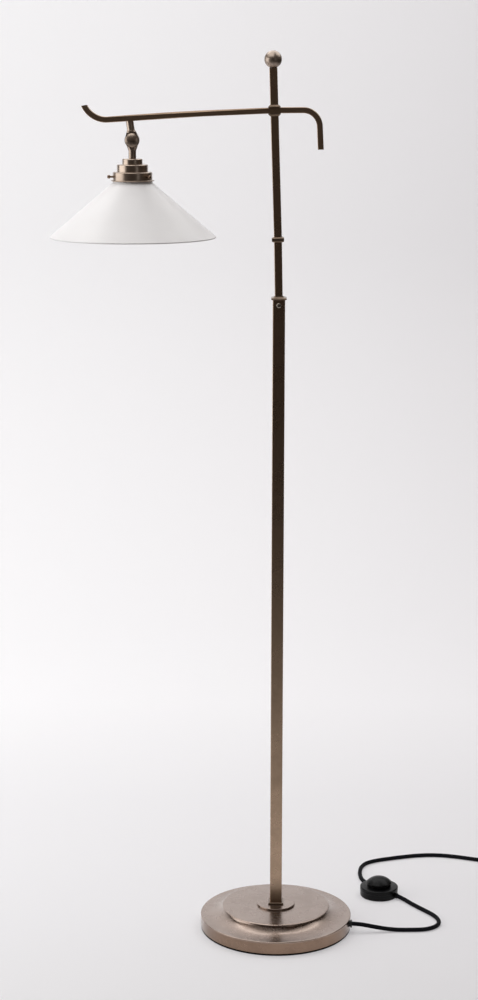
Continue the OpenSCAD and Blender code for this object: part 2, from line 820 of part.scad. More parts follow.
module knuckle_upper() {
    color(BRONZE) difference() {
        at_stem() difference() {
            knuckle_half(stem_len + 3);
            rotate([90, 0, 0]) rod(pivot_d / 2 + fit, -knuckle_t, knuckle_t);
            rod(3 + fit, stem_len - 14, stem_len + 4);
            rod(flex_hole_r, 12, stem_len + 4);
        }
        translate([stem_top[0], 0, stem_top[1] - 0.02]) rotate([0, -mast_lean - bow_at_stem, 0])
            translate([-20, -20, 0]) cube(40);
    }
}

module knuckle_screw() {
    half_t = knuckle_t / 2;
    color(STEEL) at_head() rotate([90, 0, 0]) {
        rod(pivot_d / 2, -half_t, half_t - 2.4);
        rod(pivot_d / 2 + 1.5, half_t - 2.4, half_t - apart);
    }
}

module dome(r, h) {
    big = (r * r + h * h) / (2 * h);
    intersection() {
        translate([0, 0, h - big]) sphere(big);
        rod(r, 0, h + 1);
    }
}

module knuckle_front_cap() {
    color(BRONZE) at_head() translate([0, -knuckle_t / 2, 0]) rotate([90, 0, 0]) dome(dome_d / 2, dome_h);
}

module knuckle_rear_cap() {
    color(BRONZE) at_head() translate([0, knuckle_t / 2, 0]) rotate([-90, 0, 0]) dome(dome_d / 2, dome_h);
}

module knuckle_lower() {
    color(BRONZE) at_head() difference() {
        union() {
            rotate([180, 0, 0]) knuckle_half(lower_stem_len);
            rod(5 - fit, -lower_stem_len - tier1_h - sheet_t - 5, -lower_stem_len + 1);
        }
        rotate([90, 0, 0]) rod(pivot_d / 2 + fit, -knuckle_t, knuckle_t);
        rotate([90, 0, 0]) rod(pivot_d / 2 + 1.5 + apart, knuckle_t / 2 - 2.4 - apart, knuckle_t);
        rod(flex_hole_r, -lower_stem_len - 30, -12);
    }
}

// ---------- gallery ----------

module gallery_cap() {
    r = tier1_d / 2;
    color(BRONZE) at_head() difference() {
        rotate_extrude() polygon(concat(
            [[0, gallery_top], [r, gallery_top]],
            arc([r - 1.6, -lower_stem_len - 1.6], 1.6, 0, 90, 5),
            [[0, -lower_stem_len]]
        ));
        rod(5, gallery_top - 1, 0);
    }
}

// Spun gallery: middle tier, ring and rolled lip in one sheet, with a nut for each thumb screw
module gallery() {
    r2 = tier2_d / 2;
    bend = 1.6;
    color(BRONZE) at_head() difference() {
        union() {
            rotate_extrude() polygon(concat(
                [[0, gallery_top]],
                arc([r2 - bend, gallery_top - bend], bend, 90, 0, 5),
                [[r2, ring_top]],
                arc([ring_r - bend, ring_top - bend], bend, 90, 0, 5),
                [[ring_r, lip_top]],
                arc([ring_r + lip_out - lip_t / 2, lip_top - lip_t / 2], lip_t / 2, 90, -90, 6),
                [[ring_in_r, lip_low]],
                [[ring_in_r, ring_top - sheet_t], [r2 - sheet_t, ring_top - sheet_t]],
                [[r2 - sheet_t, gallery_top - sheet_t], [0, gallery_top - sheet_t]]
            ));
            for (i = [0:2]) rotate([0, 0, screw_az + 120 * i]) translate([0, 0, screw_z])
                rotate([0, 90, 0]) rod(screw_d / 2 + 1.4, ring_in_r + 0.5, ring_r + 2.6);
        }
        rod(5, gallery_top - 2, gallery_top + 1);
        for (i = [0:2]) rotate([0, 0, screw_az + 120 * i]) translate([0, 0, screw_z])
            rotate([0, 90, 0]) rod(screw_d / 2 + fit, ring_in_r - 2, ring_r + 4);
    }
}

// Thumb screw: plain tip under the glass's lip, thin shank and a small ball-edged head
module thumb_screw(i) {
    head_r = screw_d / 2 + 1.1;
    color(BRIGHT) at_head() rotate([0, 0, screw_az + 120 * i]) translate([0, 0, screw_z]) rotate([0, 90, 0])
        rotate_extrude() polygon(concat(
            [[0, neck_r + 0.15], [screw_d / 2, neck_r + 0.15], [screw_d / 2, screw_reach - 4.4]],
            [[head_r - 0.6, screw_reach - 4.2], [head_r, screw_reach - 3.6], [head_r, screw_reach - 1]],
            arc([head_r - 1, screw_reach - 1], 1, 0, 90, 3),
            [[0, screw_reach]]
        ));
}

module thumb_screw_1() { thumb_screw(0); }

module thumb_screw_2() { thumb_screw(1); }

module thumb_screw_3() { thumb_screw(2); }

// ---------- lampholder, bulb and shade ----------

module lampholder_cap() {
    color(WHITE) at_head() difference() {
        rotate_extrude() polygon([
            [0, holder_top], [9, holder_top], [9, holder_top - 7], [holder_r - 1, holder_top - 12],
            [holder_r, holder_top - 14], [holder_r, holder_top - 19], [holder_r - 1.6, holder_top - 19],
            [holder_r - 1.6, holder_top - 14], [7, holder_top - 9], [0, holder_top - 9]
        ]);
        rod(5, holder_top - 5, holder_top + 1);
        rod(flex_hole_r, holder_top - 10, holder_top);
    }
}

module lampholder_body() {
    color(WHITE) at_head() difference() {
        rotate_extrude() polygon([
            [0, holder_top - 15], [holder_r - 1.8, holder_top - 15], [holder_r - 1.8, holder_top - 19],
            [holder_r, holder_top - 19], [holder_r, holder_low + 1], [holder_r - 1, holder_low],
            [8.4, holder_low], [8.4, holder_top - 20], [0, holder_top - 20]
        ]);
        rod(flex_hole_r, holder_top - 21, holder_top - 14);
    }
}

module lampholder_contacts() {
    color(BRASS) at_head() {
        difference() {
            rod(8.3, holder_low + 4, holder_top - 20);
            rod(7.4, holder_low + 3, holder_top - 21);
            rod(2.8, holder_top - 22, holder_top - 19);
        }
        translate([0, 0, holder_top - 22.5]) difference() {
            rod(2.5, 0, 2.5);
            rod(1.2, 0.8, 3);
        }
    }
}

module head_flex() {
    color(WHITE) at_head() rod(flex_r, holder_top - 19.5, -13);
}

module bulb_cap() {
    tip = holder_top - 22.9;
    color(STEEL) at_head() rotate_extrude() polygon([
        [0, tip], [2, tip], [2.4, tip - 0.6], [6.4, tip - 2.4], [6.9, tip - 3.4],
        [6.9, holder_low - 1.2], [0, holder_low - 1.2]
    ]);
}

module bulb_glass() {
    color(OPAL) at_head() union() {
        translate([0, 0, bulb_z]) sphere(bulb_r);
        translate([0, 0, holder_low - 1.2 - 8.5]) cylinder(r1 = 12.5, r2 = 6.9, h = 8.5);
    }
}

// White glass coolie: fitter lip, neck, shoulder, straight cone and a rounded rim
module shade() {
    slope = atan(cone_h / (shade_d / 2 - shoulder_r));
    step = glass_t / sin(90 - slope);
    rim_r = shade_d / 2;
    lip_r = fitter_d / 2;
    in_r = neck_r - glass_t + 0.2;
    color(OPAL) at_head() rotate_extrude() polygon(concat(
        arc([lip_r - 1, neck_top - 1], 1, 90, 0, 3),
        [[lip_r, neck_top - neck_lip_h + 0.6], [neck_r + 0.4, neck_top - neck_lip_h - 0.2]],
        [[neck_r, neck_top - neck_lip_h - 0.8], [neck_r, shoulder_z + 4.5]],
        arc([shoulder_r - 0.6, shoulder_z + 1.2], 1.2, 90, 20, 4),
        [[shoulder_r + 0.7, shoulder_z]],
        [[rim_r - 1, shade_low + 1.6]],
        arc([rim_r - 1.6, shade_low + 0.7], 1.2, 40, -130, 6),
        [[in_r + 2, shoulder_z - step + 1.2], [in_r, shoulder_z + 1.5], [in_r, neck_top - 1]],
        arc([in_r + 1, neck_top - 1], 1, 180, 90, 3)
    ));
}

// ---------- foot switch ----------

module at_gland(way) {
    at_switch() translate([0, 0, gland_z]) rotate([0, 0, atan2(way[1], way[0])])
        rotate([0, 90, 0]) children();
}

function screw_posts() = [for (a = [60, 180, 285]) (switch_d / 2 - 6) * [cos(a), sin(a)]];

module switch_lower_shell() {
    r = switch_d / 2;
    color(BLACK) difference() {
        union() {
            at_switch() difference() {
                rotate_extrude() polygon([
                    [0, 0], [r - 1.5, 0], [r - 0.6, 1.2], [r - 0.3, shell_split], [0, shell_split]
                ]);
                rod(r - shell_t - 0.5, shell_t, shell_split + 1);
            }
            at_switch() for (p = screw_posts()) translate([p[0], p[1], shell_t - 0.5])
                cylinder(r = 3.2, h = shell_split - shell_t + 0.5);
            at_gland(gland_in) rod(gland_r, r - 2.5, norm(gland_in));
            at_gland(gland_out) rod(gland_r, r - 2.5, norm(gland_out));
        }
        at_switch() for (p = screw_posts()) translate([p[0], p[1], -1]) {
            cylinder(r = 1.6, h = shell_split + 2);
            cylinder(r = 3, h = 2.6);
        }
    }
}

module switch_upper_shell() {
    r = switch_d / 2;
    hole_r = button_d / 2 - 1.8;
    color(BLACK) at_switch() difference() {
        union() {
            difference() {
                rotate_extrude() polygon([
                    [0, shell_split], [r - 0.3, shell_split], [r, shell_split + 0.6], [r, switch_h - 2],
                    [r - 1.2, switch_h - 0.9], [hole_r + 2, switch_h], [0, switch_h]
                ]);
                rod(r - shell_t, shell_split - 1, switch_h - shell_t - 0.4);
            }
            for (p = screw_posts()) translate([p[0], p[1], shell_split])
                cylinder(r = 3.2, h = switch_h - shell_split - 2);
        }
        rod(hole_r, shell_split, switch_h + 1);
        for (p = screw_posts()) translate([p[0], p[1], shell_split - 1]) cylinder(r = 1.3, h = 5.1);
    }
}

module switch_block() {
    color("#444448") at_switch() difference() {
        translate([-11, -8, shell_t]) cube([22, 16, 5]);
        rod(2, shell_t + 3, shell_t + 6);
    }
}

module switch_spring() {
    color(STEEL) at_switch() difference() {
        rod(6, shell_t + 5, switch_h + button_rise - 5.4);
        rod(5.1, shell_t + 4, switch_h + button_rise);
    }
}

// Mushroom button: retaining flange under the shell, straight neck, flared side and domed top
module switch_button() {
    top_r = button_d / 2;
    neck = top_r - 2.1;
    crest = switch_h + button_rise;
    dome_h = 0.58 * button_rise;
    edge_z = crest - dome_h - 0.2;
    big = (pow(top_r - 0.6, 2) + dome_h * dome_h) / (2 * dome_h);
    span = asin((top_r - 0.6) / big);
    flange_z = switch_h - shell_t - 0.4 - apart;
    color(BLACK) at_switch() rotate_extrude() polygon(concat(
        [[neck - 1.6, flange_z - 1.4], [neck + 1.6, flange_z - 1.4]],
        [[neck + 1.6, flange_z], [neck, flange_z]],
        [[neck, switch_h + button_travel + 0.4], [top_r, edge_z - 0.9], [top_r - 0.2, edge_z - 0.2]],
        arc([0, crest - big], big, 90 - span, 90, 8),
        [[0, crest - 5.1], [7, crest - 5.1], [neck - 5, crest - 8.5], [neck - 1.6, crest - 12]]
    ));
}

// ---------- cords, coil and plug ----------

module cord_base_to_switch() {
    color(BLACK) swept_cord(base_route, cord_d / 2, 10, [1, 0, 0], [-30, 18, 0]);
}

module cord_switch_to_coil() {
    color(BLACK) swept_cord(mains_route, cord_d / 2, 10, [-15, 31.5, 0], [1, 0, 0]);
}

module cord_coil() {
    r = 4;
    low = coil_mid_r - coil_wide / 2;
    high = coil_mid_r + coil_wide / 2;
    color(BLACK) translate(coil_at) rotate_extrude() polygon(concat(
        arc([low + r, r], r, 180, 270, 4), arc([high - r, r], r, 270, 360, 4),
        arc([high - r, coil_high - r], r, 0, 90, 4), arc([low + r, coil_high - r], r, 90, 180, 4)
    ));
}

module cord_coil_to_plug() {
    color(BLACK) swept_cord(tail_route, cord_d / 2, 10, [0, -1, 0], [0, -1, 0]);
}

module plug_relief() {
    color(BLACK) translate([plug_at[0], plug_at[1] + plug_w / 2, 9.5]) rotate([-90, 0, 0]) difference() {
        cylinder(r1 = 6.2, r2 = 4.6, h = 30);
        for (i = [0:4]) translate([0, 0, 4 + 5 * i]) difference() {
            cylinder(r = 8, h = 2);
            cylinder(r = 4.5, h = 2);
        }
    }
}

module plug_body() {
    half = plug_w / 2;
    color(BLACK) translate(plug_at) difference() {
        intersection() {
            linear_extrude(plug_h) polygon([
                [-half + 4, half], [half - 4, half], [half, half - 6], [half, -half + 16],
                [half - 12, -half], [-half + 12, -half], [-half, -half + 16], [-half, half - 6]
            ]);
            rotate([90, 0, 0]) linear_extrude(plug_w + 2, center = true) polygon([
                [-half + 3, 0], [half - 3, 0], [half, 3], [half, plug_h], [-half, plug_h], [-half, 3]
            ]);
        }
        for (p = pin_slots()) translate([p[0] - p[2] / 2, p[1] - p[3] / 2, plug_h - 5])
            cube([p[2], p[3], 6]);
    }
}

// Pins of the plug, as [x, y, width, depth, length]: two flat ones and the longer earth pin
function pin_slots() = [
    [-11.1, 9, 6.35, 3.95, 17.7], [11.1, 9, 6.35, 3.95, 17.7], [0, -13.2, 3.95, 7.92, 22.7]
];

module plug_pins() {
    color(BRASS) translate(plug_at) for (p = pin_slots())
        translate([p[0] - p[2] / 2, p[1] - p[3] / 2, plug_h - 5]) cube([p[2], p[3], 5 + p[4]]);
}

base_pad();
base_weight();
base_cover();
base_disc();
foot_flange();
foot_block();
base_nipple();
base_nut();
column_plug();
column_tube();
column_cap();
inner_lead();
cord_grommet();
clamp_screw();
slider_tube();
slider_bush();
mast_coupling();
mast_tube();
mast_plug();
lower_cross_collar();
upper_cross_collar();
top_tube();
top_plug();
tie_rod();
finial_ball();
arm_tube();
arm_end_caps();
arm_nipple();
knuckle_upper();
knuckle_screw();
knuckle_rear_cap();
mast_flex();
knuckle_lower();
knuckle_front_cap();
gallery_cap();
gallery();
thumb_screw_1();
thumb_screw_2();
thumb_screw_3();
lampholder_cap();
lampholder_body();
lampholder_contacts();
head_flex();
bulb_cap();
bulb_glass();
shade();
switch_lower_shell();
switch_upper_shell();
switch_block();
switch_spring();
switch_button();
cord_base_to_switch();
cord_switch_to_coil();
cord_coil();
cord_coil_to_plug();
plug_relief();
plug_body();
plug_pins();
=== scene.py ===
"""Looks of the bridge floor lamp: studio, cords, finishes and the pieces that replace plain CAD solids."""
import json
import math

import bmesh
import bpy
from mathutils import Matrix, Vector


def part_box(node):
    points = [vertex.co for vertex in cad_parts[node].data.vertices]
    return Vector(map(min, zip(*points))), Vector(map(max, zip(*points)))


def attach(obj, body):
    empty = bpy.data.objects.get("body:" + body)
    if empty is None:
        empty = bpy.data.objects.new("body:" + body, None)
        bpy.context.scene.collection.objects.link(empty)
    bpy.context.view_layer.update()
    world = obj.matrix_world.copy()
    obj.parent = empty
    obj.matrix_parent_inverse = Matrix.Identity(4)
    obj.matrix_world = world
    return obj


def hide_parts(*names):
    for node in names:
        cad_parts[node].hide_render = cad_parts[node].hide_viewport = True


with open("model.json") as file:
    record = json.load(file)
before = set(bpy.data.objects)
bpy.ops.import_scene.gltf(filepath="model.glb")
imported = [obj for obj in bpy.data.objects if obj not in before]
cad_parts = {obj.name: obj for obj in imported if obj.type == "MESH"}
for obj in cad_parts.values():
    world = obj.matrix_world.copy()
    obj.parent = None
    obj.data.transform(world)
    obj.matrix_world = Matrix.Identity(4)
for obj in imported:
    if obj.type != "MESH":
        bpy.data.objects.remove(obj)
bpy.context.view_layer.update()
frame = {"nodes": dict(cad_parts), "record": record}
nodes = frame["nodes"]
scene = bpy.context.scene
scene.view_settings.view_transform = "Standard"

MM = 0.001

# Places in the CAD model, in mm
swivel = next(j for j in frame["record"]["behaviour"]["joints"] if j["name"] == "shade_tilt")
KNUCKLE = Vector(swivel["pos_m"]) * 1000   # pivot of the swivel; the head hangs on this axis
BALL = 0.5 * (Vector(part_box("finial_ball")[0]) + Vector(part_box("finial_ball")[1])) * 1000


# ---------- colours and shader nodes ----------

def linear(hex_colour):
    """An sRGB hex colour as linear RGBA."""
    def channel(v):
        return v / 12.92 if v <= 0.04045 else ((v + 0.055) / 1.055) ** 2.4
    return tuple(channel(int(hex_colour[i:i + 2], 16) / 255) for i in (1, 3, 5)) + (1.0,)


def add(tree, kind, inputs=None, **settings):
    """Adds a shader node. inputs takes values, or outputs of other nodes, by socket name or number."""
    made = tree.nodes.new(kind)
    for key, value in settings.items():
        setattr(made, key, value)
    for socket, value in (inputs or {}).items():
        if isinstance(value, bpy.types.NodeSocket):
            tree.links.new(value, made.inputs[socket])
        else:
            made.inputs[socket].default_value = value
    return made


def blank(name):
    """An empty material with its output node."""
    material = bpy.data.materials.new(name)
    material.use_nodes = True
    material.node_tree.nodes.clear()
    return material, material.node_tree, add(material.node_tree, "ShaderNodeOutputMaterial")


def ramp(tree, fac, stops):
    """A colour ramp: stops are (position, hex colour or grey level)."""
    made = add(tree, "ShaderNodeValToRGB", {"Fac": fac})
    elements = made.color_ramp.elements
    while len(elements) < len(stops):
        elements.new(0.5)
    for element, (position, colour) in zip(elements, stops):
        element.position = position
        element.color = linear(colour) if isinstance(colour, str) else (colour, colour, colour, 1)
    return made.outputs["Color"]


def mixed(tree, fac, first, second, blend="MIX"):
    """Two colours mixed: each is a socket or an sRGB hex colour."""
    made = add(tree, "ShaderNodeMix", {0: fac}, data_type="RGBA", blend_type=blend)
    for socket, value in ((6, first), (7, second)):
        if isinstance(value, str):
            made.inputs[socket].default_value = linear(value)
        else:
            tree.links.new(value, made.inputs[socket])
    return made.outputs[2]


def maths(tree, operation, *values):
    """The output of a Math node. Each value is a number or an output of another node."""
    return add(tree, "ShaderNodeMath", dict(enumerate(values)), operation=operation).outputs[0]


def noise(tree, where, scale, detail, roughness=0.5):
    """The grey output of a noise texture. scale is in waves per metre."""
    return add(tree, "ShaderNodeTexNoise", {
        "Vector": where, "Scale": scale, "Detail": detail, "Roughness": roughness}).outputs["Fac"]


def spread(tree, value, start, end, low=0.0, high=1.0):
    """A value mapped from start..end to low..high, and held at the ends."""
    return add(tree, "ShaderNodeMapRange", {
        "Value": value, "From Min": start, "From Max": end, "To Min": low, "To Max": high}).outputs[0]


def bumps(tree, height, strength, distance):
    """The normal output of a Bump node. distance is in metres."""
    return add(tree, "ShaderNodeBump", {
        "Height": height, "Strength": strength, "Distance": distance}).outputs[0]


def at_object(tree):
    """The point's place in its piece, in metres."""
    return add(tree, "ShaderNodeTexCoord").outputs["Object"]


def show(tree, out, shader):
    """Makes a shader node the material's surface."""
    tree.links.new(shader.outputs[0], out.inputs["Surface"])


# ---------- finishes ----------

PIT_CELLS = 34.0        # cells per metre, so about 29 mm across; a few hold a pinhole
PIT_RARE = 0.78         # share of the cells without one
PIT_RADIUS = 0.034      # in cells: 1 mm
RIM_SIDE_TOP = 0.023    # height of the rim's edge in metres
RIM_SIDE_FADE = 0.003


def round_marks(tree, where, axis):
    """Where a point lies seen from a turned piece's axis: its distance and its height, so that noise
    sampled there makes marks that run round the piece."""
    centred = add(tree, "ShaderNodeMapping", {"Vector": where, "Location": [-c * MM for c in axis]})
    split = add(tree, "ShaderNodeSeparateXYZ", {"Vector": centred.outputs[0]}).outputs
    flat = add(tree, "ShaderNodeCombineXYZ", {"X": split["X"], "Y": split["Y"]})
    radius = add(tree, "ShaderNodeVectorMath", {0: flat.outputs[0]}, operation="LENGTH")
    return add(tree, "ShaderNodeCombineXYZ", {"X": radius.outputs["Value"], "Z": split["Z"]}).outputs[0]


def rim_pits_and_side_tone(tree, where, colour):
    """A few pinholes in the plate, 2 mm across, and the rim's side, below its top edge, darker and browner
    than the top."""
    cells = add(tree, "ShaderNodeTexVoronoi", {"Vector": where, "Scale": PIT_CELLS, "Randomness": 1.0})
    few = add(tree, "ShaderNodeSeparateColor", {"Color": cells.outputs["Color"]}).outputs[0]
    rare = maths(tree, "GREATER_THAN", few, PIT_RARE)
    small = maths(tree, "LESS_THAN", cells.outputs["Distance"], PIT_RADIUS)
    colour = mixed(tree, maths(tree, "MULTIPLY", rare, small), colour, "#3a2e27")
    # the rim's side, below its top edge, is made darker and browner than the top
    height = add(tree, "ShaderNodeSeparateXYZ", {"Vector": where}).outputs["Z"]
    side = spread(tree, height, RIM_SIDE_TOP, RIM_SIDE_TOP - RIM_SIDE_FADE)
    return mixed(tree, side, colour, mixed(tree, 1.0, colour, "#dccbb9", "MULTIPLY"))


def antiqued_nickel(name, light, dark, roughness, turned_about=None, brushed=(1, 1, 1), pitted_rim_and_side_tone=False):
    """Nickel plate over steel or brass, browned in an antiquing bath, rubbed back with a fine pad and
    lacquered. To the eye: a satin brown metal whose highlights and glancing views go pale and grey from
    the clear lacquer, with faint rubbing marks round a turned piece or along a tube."""
    material, tree, out = blank(name)
    where = at_object(tree)
    if turned_about is not None:
        grain_at = round_marks(tree, where, turned_about)
    else:
        grain_at = add(tree, "ShaderNodeMapping", {"Vector": where, "Scale": brushed}).outputs[0]
    # rubbing marks about 0.7 mm apart, coarser than the real 0.2 mm so that they show
    marks = noise(tree, grain_at, 1400.0, 3.0, 0.6)
    # bath stains of about 40 mm and small clouds of 4 mm
    stain = noise(tree, where, 26.0, 4.0, 0.6)
    cloud = noise(tree, where, 240.0, 3.0, 0.7)
    tone = ramp(tree, stain, [(0.36, dark), (0.62, light)])
    fleck = ramp(tree, cloud, [(0.3, 0.97), (0.7, 1.0)])
    colour = mixed(tree, 0.75, tone, fleck, "MULTIPLY")
    if pitted_rim_and_side_tone:
        colour = rim_pits_and_side_tone(tree, where, colour)
    # the stained parts are a little rougher
    rough = spread(tree, stain, 0.3, 0.7, roughness + 0.05, roughness - 0.04)
    show(tree, out, add(tree, "ShaderNodeBsdfPrincipled", {
        "Base Color": colour, "Metallic": 1.0, "Roughness": rough,
        "Normal": bumps(tree, marks, 0.012, 0.0003),
        "Coat Weight": 0.8, "Coat Roughness": 0.2, "Coat IOR": 1.5}))
    return material


def bright_metal(name, colour, roughness):
    """Plain plated or turned metal of small fittings: smooth, with faint machining marks of 1 mm."""
    material, tree, out = blank(name)
    marks = noise(tree, at_object(tree), 900.0, 2.0)
    rough = spread(tree, marks, 0.3, 0.7, roughness * 0.8, roughness * 1.25)
    show(tree, out, add(tree, "ShaderNodeBsdfPrincipled", {
        "Base Color": linear(colour), "Metallic": 1.0, "Roughness": rough}))
    return material


def moulded_plastic(name, colour, roughness, grain=0.0002, specular=0.5):
    """Injection-moulded plastic: an even colour with a fine spark-eroded grain that softens the
    highlights. Rubber is made the same way, and cast iron and foam with a coarser grain."""
    material, tree, out = blank(name)
    # grain of about 0.6 mm, coarser than the real 0.1 mm so that it shows
    fine = noise(tree, at_object(tree), 1600.0, 2.0)
    rough = spread(tree, fine, 0.3, 0.7, roughness - 0.04, roughness + 0.05)
    show(tree, out, add(tree, "ShaderNodeBsdfPrincipled", {
        "Base Color": linear(colour), "Roughness": rough, "IOR": 1.5,
        "Specular IOR Level": specular, "Normal": bumps(tree, fine, 0.25, grain)}))
    return material


def opal_glass(name, colour, through, roughness):
    """White opal glass: milky all through, so a little light goes in and spreads, under a smooth surface
    with slow waves of about 55 mm from the blowing."""
    material, tree, out = blank(name)
    waves = noise(tree, at_object(tree), 18.0, 2.0)
    shader = add(tree, "ShaderNodeBsdfPrincipled", {
        "Base Color": ramp(tree, waves, [(0.35, colour), (0.65, "#fefcfc")]),
        "Roughness": roughness, "IOR": 1.51, "Subsurface Weight": through,
        "Subsurface Radius": (1.0, 1.0, 0.98), "Subsurface Scale": 0.002,
        "Normal": bumps(tree, waves, 0.03, 0.001)})
    milk = add(tree, "ShaderNodeBsdfTranslucent", {"Color": linear("#fdf9f7")})
    show(tree, out, add(tree, "ShaderNodeMixShader", {0: 0.06, 1: shader.outputs[0], 2: milk.outputs[0]}))
    return material


BRAID_PITCH = 0.0055    # metres per wave along the cord: two crossings


def woven_braid(name, length):
    """Black polyester braid over the flex: two sets of yarns that cross at 45 degrees, soft and matt."""
    material, tree, out = blank(name)
    uv = add(tree, "ShaderNodeUVMap", uv_map="UVMap").outputs[0]
    split = add(tree, "ShaderNodeSeparateXYZ", {"Vector": uv}).outputs
    # 8 yarns each way round a 22 mm girth: each crossing is 2.7 mm, twice the real size so that it shows
    along = maths(tree, "MULTIPLY", split["X"], length / BRAID_PITCH)
    around = maths(tree, "MULTIPLY", split["Y"], 4.0)
    yarns = [maths(tree, "SINE", maths(tree, "MULTIPLY", maths(tree, sign, along, around), 2 * math.pi))
             for sign in ("ADD", "SUBTRACT")]
    over = maths(tree, "MULTIPLY", *yarns)
    show(tree, out, add(tree, "ShaderNodeBsdfPrincipled", {
        "Base Color": ramp(tree, spread(tree, over, -1.0, 1.0), [(0.15, "#050508"), (0.85, "#12121a")]),
        "Roughness": 0.85, "Sheen Weight": 0.03, "Sheen Roughness": 0.5,
        "Specular IOR Level": 0.15, "Normal": bumps(tree, over, 0.6, 0.0004)}))
    return material


HEAD_AXIS = tuple(KNUCKLE)
base_plate = antiqued_nickel("antiqued_nickel_base", "#aa988c", "#9f8d81", 0.27, (0, 0, 0), pitted_rim_and_side_tone=True)
turned_plate = antiqued_nickel("antiqued_nickel_turned", "#b6a494", "#a59383", 0.30, HEAD_AXIS)
finial_plate = antiqued_nickel("antiqued_nickel_finial", "#a39284", "#948374", 0.42, tuple(BALL))
tube_plate = antiqued_nickel("antiqued_nickel_tube", "#b2977e", "#a38a72", 0.28, brushed=(1, 1, 0.02))
# a darker copy of the tube's plate for the foot block: painted reflection of the dark disc below it
foot_plate_painted_reflection = antiqued_nickel("antiqued_nickel_foot_painted_reflection", "#7e6b5a", "#715f4f", 0.3, brushed=(1, 1, 0.02))
collar_plate = antiqued_nickel("antiqued_nickel_collar", "#857260", "#786553", 0.42)
arm_plate = antiqued_nickel("antiqued_nickel_arm", "#b2977e", "#a38a72", 0.34, brushed=(0.02, 1, 1))
screw_metal = bright_metal("polished_steel_screw", "#cfc8bd", 0.18)
thumb_metal = bright_metal("bronzed_thumb_screw", "#8a7564", 0.25)
zinc_steel = bright_metal("zinc_plated_steel", "#b9bab8", 0.35)
turned_brass = bright_metal("turned_brass", "#c9a75c", 0.28)
cast_iron = moulded_plastic("rough_cast_iron", "#2c2b2b", 0.7, 0.001)
black_foam = moulded_plastic("black_foam_pad", "#060607", 0.95, 0.0006, 0.1)
black_abs = moulded_plastic("black_abs_switch", "#070708", 0.3, specular=0.18)
plug_abs = moulded_plastic("black_pvc_plug", "#0f0f11", 0.5)
white_plastic = moulded_plastic("white_thermoset", "#e6e3da", 0.35)
flex_pvc = moulded_plastic("flex_insulation", "#cfcabd", 0.4)
rubber = moulded_plastic("black_rubber", "#141415", 0.6)
shade_glass = opal_glass("white_opal_glass", "#fbf9f9", 0.1, 0.3)
bulb_opal = opal_glass("bulb_opal_glass", "#f4f2ec", 0.6, 0.15)


# ---------- making pieces ----------

def arc(centre_r, centre_z, radius, start, end, steps=6):
    """Points of an arc in a half profile, in mm and degrees."""
    angles = [math.radians(start + (end - start) * i / steps) for i in range(steps + 1)]
    return [(centre_r + radius * math.cos(a), centre_z + radius * math.sin(a)) for a in angles]


def line(start, end, steps=12):
    """Points of a straight line after its start, evenly spaced, the end included."""
    return [(start[0] + (end[0] - start[0]) * t / steps, start[1] + (end[1] - start[1]) * t / steps)
            for t in range(1, steps + 1)]


def piece_from(name, bm, body, material, stands_for=(), bevel=0.0, crease=35):
    """Makes the finished piece: smooth faces with sharp edges kept, and an optional worn edge."""
    mesh = bpy.data.meshes.new(name)
    bm.to_mesh(mesh)
    bm.free()
    piece = bpy.data.objects.new(name, mesh)
    scene.collection.objects.link(piece)
    mesh.shade_smooth()
    mesh.set_sharp_from_angle(angle=math.radians(crease))
    mesh.materials.append(material)
    if bevel:
        worn = piece.modifiers.new("worn edge", "BEVEL")
        worn.affect, worn.segments, worn.profile, worn.material = "EDGES", 3, 0.5, -1
        worn.width, worn.limit_method, worn.angle_limit = bevel * MM, "ANGLE", math.radians(crease)
    even = piece.modifiers.new("even shading", "WEIGHTED_NORMAL")
    even.keep_sharp = True
    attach(piece, body)
    if stands_for:
        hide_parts(*stands_for)
    return piece


def turned(name, outline, body, material, stands_for=(), axis=(0, 0, 0), closed=False, steps=144):
    """A piece turned about an upright axis. outline is (radius, height) in mm, from the axis and back to
    it, or a closed ring for a piece with a bore."""
    bm = bmesh.new()
    verts = [bm.verts.new((r * MM, 0, z * MM)) for r, z in outline]
    edges = [bm.edges.new(pair) for pair in zip(verts, verts[1:])]
    if closed:
        edges.append(bm.edges.new((verts[-1], verts[0])))
    bmesh.ops.spin(bm, geom=verts + edges, axis=(0, 0, 1), cent=(0, 0, 0), steps=steps,
                   angle=2 * math.pi, use_merge=True)
    bmesh.ops.remove_doubles(bm, verts=bm.verts, dist=1e-6)
    bmesh.ops.recalc_face_normals(bm, faces=bm.faces)
    bmesh.ops.translate(bm, verts=bm.verts, vec=Vector(axis) * MM)
    return piece_from(name, bm, body, material, stands_for)


def eased(node, material, body, bevel=0.25, crease=35):
    """A CAD node's own shape with its edges eased, as filing and plating leave them."""
    bm = bmesh.new()
    bm.from_mesh(nodes[node].data)
    bmesh.ops.remove_doubles(bm, verts=bm.verts, dist=2e-6)
    bmesh.ops.dissolve_limit(bm, angle_limit=math.radians(1), verts=bm.verts, edges=bm.edges)
    return piece_from(node + "_eased", bm, body, material, [node], bevel, crease)


def finish_node(node, material):
    """Gives a CAD node that stays its real finish."""
    mesh = nodes[node].data
    mesh.materials.clear()
    mesh.materials.append(material)


# ---------- camera, as the photograph was taken ----------

